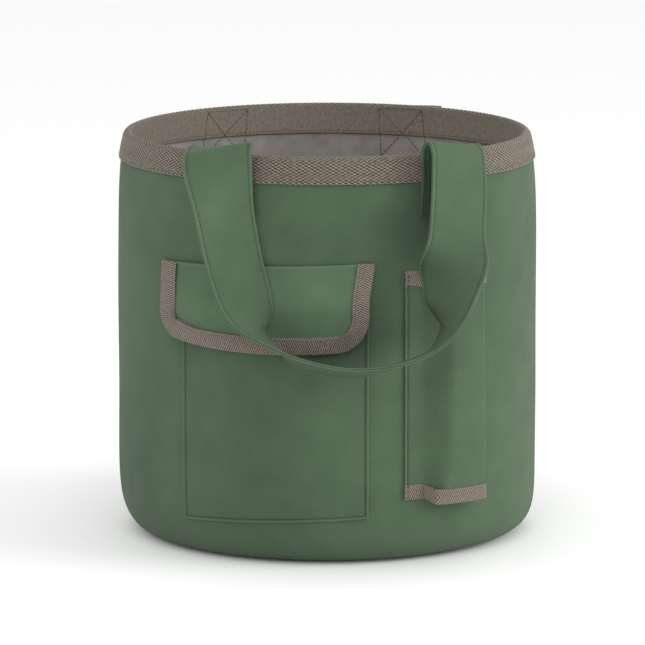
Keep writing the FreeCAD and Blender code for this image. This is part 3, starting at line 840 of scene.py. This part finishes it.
class Strap:
    """The surface of one handle's strap as frames along its length."""

    def __init__(self, left, right, facing, fold):
        stations, before = handle_stations(left, right, fold)
        last = len(stations) - 1
        rows = np.array([np.concatenate([c, w, [bow]]) for c, w, bow in stations])
        curve = smooth_curve(rows, STATION_STEPS)
        curve_along = lengths_along(curve[:, :3])
        dense, self.along = evenly(curve, 1.3)
        marks = [before, before + len(LOOP) - 1, len(TAB_LEVELS) - 1, last - len(TAB_LEVELS) + 1]
        at = [int(np.searchsorted(self.along, curve_along[k * STATION_STEPS])) for k in marks]
        self.cuts, self.tops = at[:2], at[2:]
        self.centre, self.wide, self.bow = dense[:, :3], unit(dense[:, 3:6]), dense[:, 6]
        self.normal = unit(np.cross(smoothed_tangent(self.centre, 4), self.wide))
        if np.dot(self.normal[0, :2], self.centre[0, :2]) < 0:
            self.normal = -self.normal
        self.facing = facing

    def points(self, rows, width, height):
        """Points at widths across the strap and heights above its middle sheet."""
        arch = self.bow[rows][:, None] * ((width / (STRAP_WIDTH / 2)) ** 2)[None, :]
        across = self.centre[rows][:, None] + self.wide[rows][:, None] * width[None, :, None]
        lift = height[None, :] - arch
        return self.turned(across + self.normal[rows][:, None] * lift[..., None])

    def shade(self, rows):
        """The front sewn ends are painted dark: painted shade from the hanging loop over them."""
        if self.facing < 0:
            return np.zeros(len(rows))
        return 1.3 * smoothstep(-2, 4, np.maximum(self.tops[0] - rows, rows - self.tops[1]))

    def turned(self, points):
        """The back handle is built like the front one, then turned half way round."""
        return points if self.facing > 0 else points * np.array([-1.0, -1.0, 1.0])

    def normals(self, rows):
        return self.turned(self.normal[rows])


def strap_worn_highlit_shaded(width):
    """Lighter on the sewn edge's ridge, for a worn edge and a painted highlight, and painted shade
    in the row of stitches.
    """
    distance = STRAP_WIDTH / 2 - np.abs(width)
    return 0.9 * smoothstep(1.6, 0.5, distance) - 0.7 * np.exp(-((distance - 3.0) / 0.5) ** 2)


def strap_piece(name, strap, start, end):
    """One piece of the strap between two of its rings, with flat caps."""
    rows = np.arange(start, end + 1)
    ring = strap_ring()
    points = strap.points(rows, ring[:, 0], ring[:, 1]).transpose(1, 0, 2)
    around = lengths_along(ring)
    cloth = flat_grid(strap.along[rows], np.append(around, around[-1] + 1.0))[..., ::-1]
    # Painted shade in the crease along the middle of the strap's side edges, and painted shade on
    # the front sewn ends from strap.shade.
    groove_shade = 1.8 * smoothstep(0.45, 0.0, np.abs(ring[:, 1])) * (np.abs(ring[:, 0]) > 24)
    edge = (strap_worn_highlit_shaded(ring[:, 0]) - groove_shade)[:, None] - strap.shade(rows)[None, :]
    piece = grid_piece(name, points, cloth, ring=True, edge=edge, caps=True)
    return face_outwards(piece)


def strap_stitches(name, strap, start, end):
    """Rows near both edges of the strap, on both of its faces."""
    rows = np.arange(start, end + 1)
    paths = []
    for side in (-1, 1):
        for face in (-1, 1):
            width = np.array([side * (STRAP_WIDTH / 2 - SEAM_INSET)])
            path = strap.points(rows, width, np.array([face * 0.70]))[:, 0]
            paths.append((path, strap.normals(rows) * face))
    return stitch_rows(name, paths, width=0.75, rise=0.34, pitch=3.3)


def box_path(azimuth, surface, lift):
    """The rows of a box with a cross, on the face that a surface gives."""
    half = math.degrees(BOX_WIDTH / 2 / BODY_RADIUS)
    corners = [(-half, BOX_LOW), (half, BOX_LOW), (half, BOX_HIGH), (-half, BOX_HIGH)]
    rows = []
    for a, b in [(0, 1), (1, 2), (2, 3), (3, 0), (0, 2), (1, 3)]:
        (start, low), (end, high) = corners[a], corners[b]
        ends = (lean(azimuth, low) + start, lean(azimuth, high) + end)
        path, outward = upward_row(ends, low, high, surface)
        rows.append((path, outward * lift))
    return rows


def inner_face(azimuth, z):
    """The inside of the bag at the handle ends: the band's inner half, then the lining."""
    band = wall_face(azimuth, z, -BAND_INNER_OFFSET - 0.12)
    depth = LINING_OFFSET + LINING + lining_sag(azimuth, z) + 0.12
    return np.where((z > BAND_LOW)[:, None], band, wall_face(azimuth, z, -depth))


def end_face(azimuth, z):
    return wall_face(azimuth, z, END_OFFSET + STRAP_THICKNESS)


def handle(side, strap, azimuths):
    """One handle: its free loop, its two folded ends and all their stitches."""
    body = f"{side}_handle"
    first_cut, second_cut = strap.cuts
    loop = strap_piece(f"{side}_handle_loop", strap, first_cut, second_cut)
    place(loop, body, STRAP_CLOTH, f"{side}_handle_strap")
    rows = strap_stitches(f"{side}_loop_stitches", strap, first_cut, second_cut)
    place(rows, body, GREEN_THREAD)
    spans = [(0, first_cut), (second_cut, len(strap.along) - 1)]
    for (start, end), (where, azimuth) in zip(spans, azimuths):
        fold = strap_piece(f"{where}_fold", strap, start, end)
        place(fold, None, STRAP_CLOTH, f"{where}_handle_end")
        edge_rows = strap_stitches(f"{where}_fold_stitches", strap, start, end)
        place(edge_rows, None, GREEN_THREAD)
        near, far = fold_span(strap, start, end, azimuth)
        for piece in (fold, edge_rows):
            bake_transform(piece)
        box = box_path(azimuth, end_face, 1.0)
        box_piece = stitch_rows(f"{where}_box_stitches", box, width=1.0, rise=0.4)
        place(box_piece, "bag", GREEN_THREAD, f"{where}_handle_stitching")
        bobbin = box_path(azimuth, inner_face, -1.0)
        bobbin = stitch_rows(f"{where}_bobbin_stitches", bobbin, 0.8, 0.3, 3.2, 3.4)
        place(bobbin, "bag", BROWN_THREAD)


def fold_span(strap, start, end, azimuth):
    """Where a fold starts to follow the loop and where it follows it fully: between the sewn
    part and the cut, along the direction that sets these two furthest apart."""
    first = start == 0
    sewn = (start, strap.tops[0]) if first else (strap.tops[1], end)
    cut = (end, end) if first else (start, start)
    ring = strap_ring()
    sewn_points, cut_points = (
        strap.points(np.arange(low, high + 1), ring[:, 0], ring[:, 1]).reshape(-1, 3)
        for low, high in (sewn, cut)
    )
    best_gap = -np.inf
    for turn in np.arange(-20.0, 20.1, 2.0):
        for rise in (0.0, 0.1, 0.2, 0.3, 0.4):
            trial = polar(azimuth + turn, 1.0, rise)
            reach = (sewn_points @ trial).max()
            gap = (cut_points @ trial).min() - reach
            if gap > best_gap:
                best_gap, near, along = gap, reach, trial
    scale = along / float(np.dot(along, along))
    inset = 0.1 * best_gap
    return Vector(scale * (near + inset)) * MM, Vector(scale * (near + best_gap - inset)) * MM


# ---- materials

class Shader:
    """Builds one procedural material, node by node."""

    def __init__(self, name):
        self.material = bpy.data.materials.new(name)
        self.material.use_nodes = True
        self.tree = self.material.node_tree
        self.tree.nodes.clear()
        output = self.node("OutputMaterial")
        self.surface = self.node("BsdfPrincipled")
        self.feed(output.inputs["Surface"], self.surface.outputs[0])
        uv = self.node("UVMap")
        uv.uv_map = "cloth"
        scaled = self.node("VectorMath")
        scaled.operation = "SCALE"
        self.feed(scaled.inputs[0], uv.outputs[0])
        scaled.inputs["Scale"].default_value = CLOTH_UNIT
        self.cloth = scaled.outputs[0]
        self.u, self.v, _ = self.apart(self.cloth)
        self.space = self.node("TexCoord").outputs["Object"]

    def node(self, kind):
        return self.tree.nodes.new("ShaderNode" + kind)

    def feed(self, socket, value):
        if isinstance(value, bpy.types.NodeSocket):
            self.tree.links.new(value, socket)
        else:
            socket.default_value = value

    def apart(self, vector):
        node = self.node("SeparateXYZ")
        self.feed(node.inputs[0], vector)
        return node.outputs

    def math(self, operation, a, b=0.0):
        node = self.node("Math")
        node.operation = operation
        self.feed(node.inputs[0], a)
        self.feed(node.inputs[1], b)
        return node.outputs[0]

    def times(self, a, b):
        return self.math("MULTIPLY", a, b)

    def add(self, first, *others):
        for other in others:
            first = self.math("ADD", first, other)
        return first

    def wave(self, value, period):
        """The cosine of a length in millimetres over a period."""
        return self.math("COSINE", self.times(value, 2 * math.pi / period))

    def noise(self, scale, detail=2.0, roughness=0.5, vector=None):
        """Noise over the cloth, its scale in features per millimetre."""
        node = self.node("TexNoise")
        self.feed(node.inputs["Vector"], self.cloth if vector is None else vector)
        node.inputs["Scale"].default_value = scale
        node.inputs["Detail"].default_value = detail
        node.inputs["Roughness"].default_value = roughness
        return node.outputs["Fac"]

    def around(self, scale, detail=2.0):
        """Noise in the object's own space, its scale in features per metre."""
        return self.noise(scale, detail, vector=self.space)

    def span(self, value, low, high, to_low=0.0, to_high=1.0):
        node = self.node("MapRange")
        for k, number in enumerate((value, low, high, to_low, to_high)):
            self.feed(node.inputs[k], number)
        return node.outputs[0]

    def sway(self, noise, low, high):
        """A noise stretched over the range from low to high."""
        return self.span(noise, 0.3, 0.7, low, high)

    def mix(self, share, light, dark):
        node = self.node("Mix")
        node.data_type = "RGBA"
        self.feed(node.inputs[0], share)
        self.feed(node.inputs[6], (*dark, 1.0))
        self.feed(node.inputs[7], (*light, 1.0))
        return node.outputs[2]

    def edge(self):
        node = self.node("Attribute")
        node.attribute_name = "edge"
        return node.outputs["Fac"]

    def finish(self, colour, roughness, height, depth, sheen=0.0):
        """Sets the surface, with a bump whose depth is in millimetres."""
        bump = self.node("Bump")
        bump.inputs["Strength"].default_value = 0.6
        bump.inputs["Distance"].default_value = depth * MM
        self.feed(bump.inputs["Height"], height)
        settings = {
            "Base Color": colour, "Roughness": roughness, "Specular IOR Level": 0.25,
            "Sheen Weight": sheen, "Sheen Roughness": 0.45,
            "Sheen Tint": (0.86, 0.93, 0.82, 1.0), "Normal": bump.outputs[0],
        }
        for name, value in settings.items():
            self.feed(self.surface.inputs[name], value)
        return self.material


def canvas_material(name, colours, thread=0.72, twill=2.3):
    """Plain woven canvas: crossing threads, faint diagonal lines in patches, slubs, and the edge
    attribute: worn edges and painted highlights lighter, painted shade darker.
    """
    s = Shader(name)
    weave = s.times(s.wave(s.u, thread), s.wave(s.v, thread))
    patches = s.span(s.noise(0.035, 3.0), 0.36, 0.64, 0.12, 1.0)
    lines = s.times(s.wave(s.add(s.u, s.v), twill), patches)
    slub = s.noise(0.9, 2.0)
    small = s.around(42.0, 3.0)
    share = s.add(
        s.sway(s.around(7.0, 3.0), -0.16, 0.16), s.sway(small, -0.09, 0.09),
        s.times(weave, 0.15), s.times(lines, 0.20), s.span(slub, 0.2, 0.8, -0.10, 0.10),
        # The edge attribute: worn edges and painted highlights lighter, painted shade darker.
        s.times(s.edge(), 0.42), 0.5,
    )
    roughness = s.span(s.add(weave, small), -1.0, 2.0, 0.92, 0.70)
    height = s.add(s.times(weave, 0.6), s.times(lines, 0.45), s.times(slub, 0.5))
    return s.finish(s.mix(share, *colours), roughness, height, 0.2, sheen=0.05)


def webbing_material(name, colours):
    """Coarse webbing: light knuckles of yarn over dark gaps, with fine strands in the yarn. The
    dark gaps are partly the weave's pattern and partly painted shade in its hollows.

    On the inner half of the band, from 23 mm up its profile, the weave is finer and plainer.
    """
    s = Shader(name)
    knuckle = s.times(s.wave(s.u, 2 * WEBBING_COLUMN), s.wave(s.v, WEBBING_ROW))
    strands = s.wave(s.add(s.v, s.times(s.u, 0.45)), 0.37)
    slant = s.wave(s.add(s.u, s.times(s.v, 1.6)), 2 * WEBBING_COLUMN)
    # Lighter on the raised knuckles and darker in the gaps: the weave's pattern, partly painted
    # shade in its hollows.
    coarse = s.add(
        s.span(knuckle, -0.75, 0.85, 0.0, 0.92), s.times(slant, 0.14), s.times(strands, 0.07)
    )
    inside = s.span(s.v, 23.0, 27.0)
    plain = s.add(s.times(s.wave(s.u, 1.5), 0.07), 0.66)
    share = s.add(
        s.times(coarse, s.span(inside, 0, 1, 1.0, 0.10)), s.times(inside, plain),
        s.sway(s.noise(0.35, 3.0), -0.14, 0.14),
    )
    height = s.add(s.times(knuckle, 0.7), s.times(strands, 0.25))
    height = s.times(height, s.span(inside, 0, 1, 1.0, 0.12))
    roughness = s.span(knuckle, -1.0, 1.0, 0.95, 0.72)
    return s.finish(s.mix(share, *colours), roughness, height, 0.32, sheen=0.10)


def tape_material(name, colours):
    """Fine binding tape: slanting ribs that meet along its middle."""
    s = Shader(name)
    ribs = s.wave(s.add(s.u, s.times(s.math("ABSOLUTE", s.v), 0.55)), RIB)
    beads = s.wave(s.v, 1.5)
    # The edge attribute paints the tape's free edge lighter: a worn edge and a painted highlight.
    share = s.add(
        s.times(ribs, 0.62), s.times(s.times(ribs, beads), 0.30),
        s.sway(s.noise(0.5, 3.0), 0.26, 0.70), s.times(s.edge(), 0.3),
    )
    height = s.add(ribs, s.times(beads, 0.3))
    roughness = s.span(ribs, -1, 1, 0.95, 0.75)
    return s.finish(s.mix(share, *colours), roughness, height, 0.22, sheen=0.10)


def lining_material(name, colours):
    """Thin smooth lining cloth with fine threads and soft creases, their hollows painted darker as
    painted shade.
    """
    s = Shader(name)
    weave = s.times(s.wave(s.u, 0.5), s.wave(s.v, 0.5))
    creases = s.noise(0.06, 5.0, 0.62)
    # The crease noise also darkens the colour in the creases' hollows: painted shade.
    share = s.add(
        s.sway(creases, 0.25, 0.75), s.sway(s.around(16.0, 4.0), -0.12, 0.12), s.times(weave, 0.06)
    )
    height = s.add(s.times(creases, 3.0), s.times(weave, 0.12))
    roughness = s.sway(creases, 0.62, 0.45)
    return s.finish(s.mix(share, *colours), roughness, height, 0.35, sheen=0.05)


def thread_material(name, colours):
    """Twisted sewing thread."""
    s = Shader(name)
    x, y, z = s.apart(s.space)
    twist = s.wave(s.times(s.add(x, z, y), 1 / MM), 0.62)
    share = s.add(s.span(twist, -1, 1, 0.15, 0.6), s.sway(s.around(120.0), -0.15, 0.25))
    roughness = s.span(twist, -1, 1, 0.8, 0.55)
    return s.finish(s.mix(share, *colours), roughness, twist, 0.08, sheen=0.05)


def board_material(name, colours):
    """Pressed fibre board."""
    s = Shader(name)
    fibres = s.around(260.0, 5.0)
    share = s.add(s.sway(fibres, 0.0, 0.6), s.sway(s.around(22.0, 3.0), 0.0, 0.4))
    return s.finish(s.mix(share, *colours), s.sway(fibres, 0.9, 0.7), fibres, 0.2)


# Each pair of colours: light, then dark.
GREEN = (0.086, 0.134, 0.076), (0.033, 0.060, 0.033)
STRAP_GREEN = (0.085, 0.133, 0.075), (0.033, 0.059, 0.033)
FLAP_GREEN = (0.108, 0.170, 0.099), (0.043, 0.078, 0.044)
RIM_TAUPE = (0.27, 0.23, 0.185), (0.030, 0.025, 0.018)
TAPE_TAUPE = (0.26, 0.215, 0.178), (0.050, 0.040, 0.031)
GREY = (0.36, 0.335, 0.315), (0.16, 0.148, 0.135)
THREAD_GREEN = (0.060, 0.100, 0.052), (0.016, 0.030, 0.015)
THREAD_BROWN = (0.19, 0.155, 0.12), (0.07, 0.055, 0.04)
FIBRE = (0.36, 0.31, 0.25), (0.16, 0.13, 0.10)

# Each cloth: its material and its slot.
CANVAS_CLOTH = canvas_material("green_canvas_weave", GREEN), "green_canvas"
STRAP_CLOTH = canvas_material("strap_canvas_weave", STRAP_GREEN, 0.66, 2.1), "strap_canvas"
FLAP_CLOTH = canvas_material("flap_canvas_weave", FLAP_GREEN), "green_canvas"
RIM_WEBBING = webbing_material("taupe_rim_webbing", RIM_TAUPE), "taupe_webbing"
BINDING = tape_material("taupe_binding_tape", TAPE_TAUPE), "taupe_webbing"
LINING_CLOTH = lining_material("grey_lining_cloth", GREY), "grey_lining"
GREEN_THREAD = thread_material("green_sewing_thread", THREAD_GREEN), "green_thread"
BROWN_THREAD = thread_material("brown_sewing_thread", THREAD_BROWN), "brown_thread"
BOARD = board_material("stiffener_board_fibre", FIBRE)

# Each lamp: its name, place, size in metres and power in watts.
LAMPS = [
    ("top_soft", (-0.4, -0.5, 1.9), 1.8, 2.0),
    ("front_soft", (-0.4, -2.4, 1.1), 1.6, 14.0),
    ("right_rim", (1.9, -0.5, 0.7), 1.2, 26.0),
    ("left_rim", (-1.9, 0.0, 0.8), 1.2, 3.5),
]


# ---- building

def build_body():
    wall = skin("canvas_wall", 0.0, lambda azimuth, z: 0.0, 0.0, CANVAS)
    place(wall, "bag", CANVAS_CLOTH, "outer_wall")
    seam, floor_top = (corner[2] for corner in box_mm("base_lining"))
    lining = skin("lining_wall", LINING_OFFSET, lining_sag, seam, LINING)
    place(lining, "bag", LINING_CLOTH, "wall_lining")
    base = round_panel("canvas_base", box_mm("outer_base")[1][2], CANVAS, 0.0)
    place(base, "bag", CANVAS_CLOTH, "outer_base")
    floor = round_panel("lining_base", floor_top, LINING, 0.6)
    place(floor, "bag", LINING_CLOTH, "base_lining")
    place(rim_webbing(), "bag", RIM_WEBBING, "rim_band")
    place(rim_stitches(), "bag", BROWN_THREAD, "rim_band_stitching")
    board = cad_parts["base_stiffener"]
    board.data.materials.clear()
    board.data.materials.append(BOARD)


def rim_stitches():
    """Rows through the band near both of its edges, all round the rim."""
    azimuths = np.linspace(-180, 180, 1440)
    outward = polar(azimuths, 1.0, 0.0)
    outside = wall_face(azimuths, HEIGHT - BAND_OUTSIDE + HEM, LAYER_GAP + WEBBING + 0.12)
    inside = wall_face(azimuths, BAND_LOW + HEM, -BAND_INNER_OFFSET - 0.05)
    rows = [(outside, outward), (inside, -outward)]
    return stitch_rows("rim_stitches", rows, width=0.7, rise=0.35)


def build_front():
    pocket = place(pocket_front(), "bag", CANVAS_CLOTH, "pocket_panel")
    place(pocket_stitches(), "bag", GREEN_THREAD, "pocket_stitching")
    place(pocket_mouth_binding(), "bag", BINDING, "pocket_mouth_tape")
    sleeve = place(sleeve_front(), "bag", CANVAS_CLOTH, "sleeve_panel")
    top = sleeve_tape("sleeve_top_binding", SLEEVE_HIGH - 0.4, 1, 0.9)
    bottom = sleeve_tape("sleeve_bottom_binding", SLEEVE_LOW + 0.4, -1, 0.0)
    place(top, "bag", BINDING, "sleeve_top_tape")
    place(bottom, "bag", BINDING, "sleeve_bottom_tape")
    place(sleeve_stitches(), "bag", GREEN_THREAD, "sleeve_stitching")
    flap = place(flap_front(), "flap", FLAP_CLOTH, "flap_panel")
    place(flap_binding(), "flap", BINDING, "flap_tape")
    place(flap_stitches(), "flap", BROWN_THREAD, "flap_seam_stitching")


def end_azimuth(node):
    """The azimuth of a sewn handle end, from the mean of its CAD node."""
    places = np.array([v.co[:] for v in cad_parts[node].data.vertices])
    x, y = places[:, 0].mean(), places[:, 1].mean()
    return math.degrees(math.atan2(x, -y))


def build_handles():
    azimuths = {where: end_azimuth(f"{where}_handle_end")
                for where in ("front_left", "front_right", "back_right", "back_left")}
    ends = list(azimuths.items())
    strap = Strap(azimuths["front_left"], azimuths["front_right"], 1, FRONT_FOLD)
    handle("front", strap, ends[:2])
    # The back handle is built at the front, so its ends are turned half way round first.
    left, right = (azimuth - math.copysign(180, azimuth) for _, azimuth in ends[2:])
    handle("back", Strap(left, right, -1, BACK_FOLD), ends[2:])


def aim(thing, spot, target):
    """Puts a light or the camera at a spot, turned to a target, and links it."""
    thing.location = spot
    thing.rotation_euler = (Vector(target) - Vector(spot)).to_track_quat("-Z", "Y").to_euler()
    bpy.context.scene.collection.objects.link(thing)


def make_stage():
    """A pale floor, soft light all round and four soft lamps."""
    bpy.ops.mesh.primitive_plane_add(size=12.0, location=(0, 0, -0.0005))
    floor = bpy.context.object
    floor.name = "floor"
    ground = bpy.data.materials.new("pale_floor")
    ground.use_nodes = True
    surface = ground.node_tree.nodes["Principled BSDF"]
    surface.inputs["Base Color"].default_value = (0.93, 0.93, 0.93, 1.0)
    surface.inputs["Roughness"].default_value = 0.9
    floor.data.materials.append(ground)
    world = bpy.data.worlds.new("studio")
    world.use_nodes = True
    sky = world.node_tree.nodes["Background"]
    sky.inputs["Color"].default_value = (1.0, 1.0, 1.0, 1.0)
    sky.inputs["Strength"].default_value = 1.0
    bpy.context.scene.world = world
    for name, spot, size, power in LAMPS:
        data = bpy.data.lights.new(name, "AREA")
        data.shape = "SQUARE"
        data.size = size
        data.energy = power
        aim(bpy.data.objects.new(name, data), spot, (0, 0, 0.15))


def make_camera():
    """The camera of the photograph, found by fitting its rim ellipse and outline."""
    data = bpy.data.cameras.new("camera")
    data.sensor_width = 36.0
    data.lens = 308.6
    camera = bpy.data.objects.new("camera", data)
    aim(camera, (-0.00336, -4.076, 0.8581), (-0.00336, 0.0, 0.1538))
    bpy.context.scene.camera = camera


make_camera()
make_stage()
build_body()
build_front()
build_handles()

scene = bpy.context.scene
scene.view_settings.view_transform = "Standard"
scene.view_settings.look = "None"
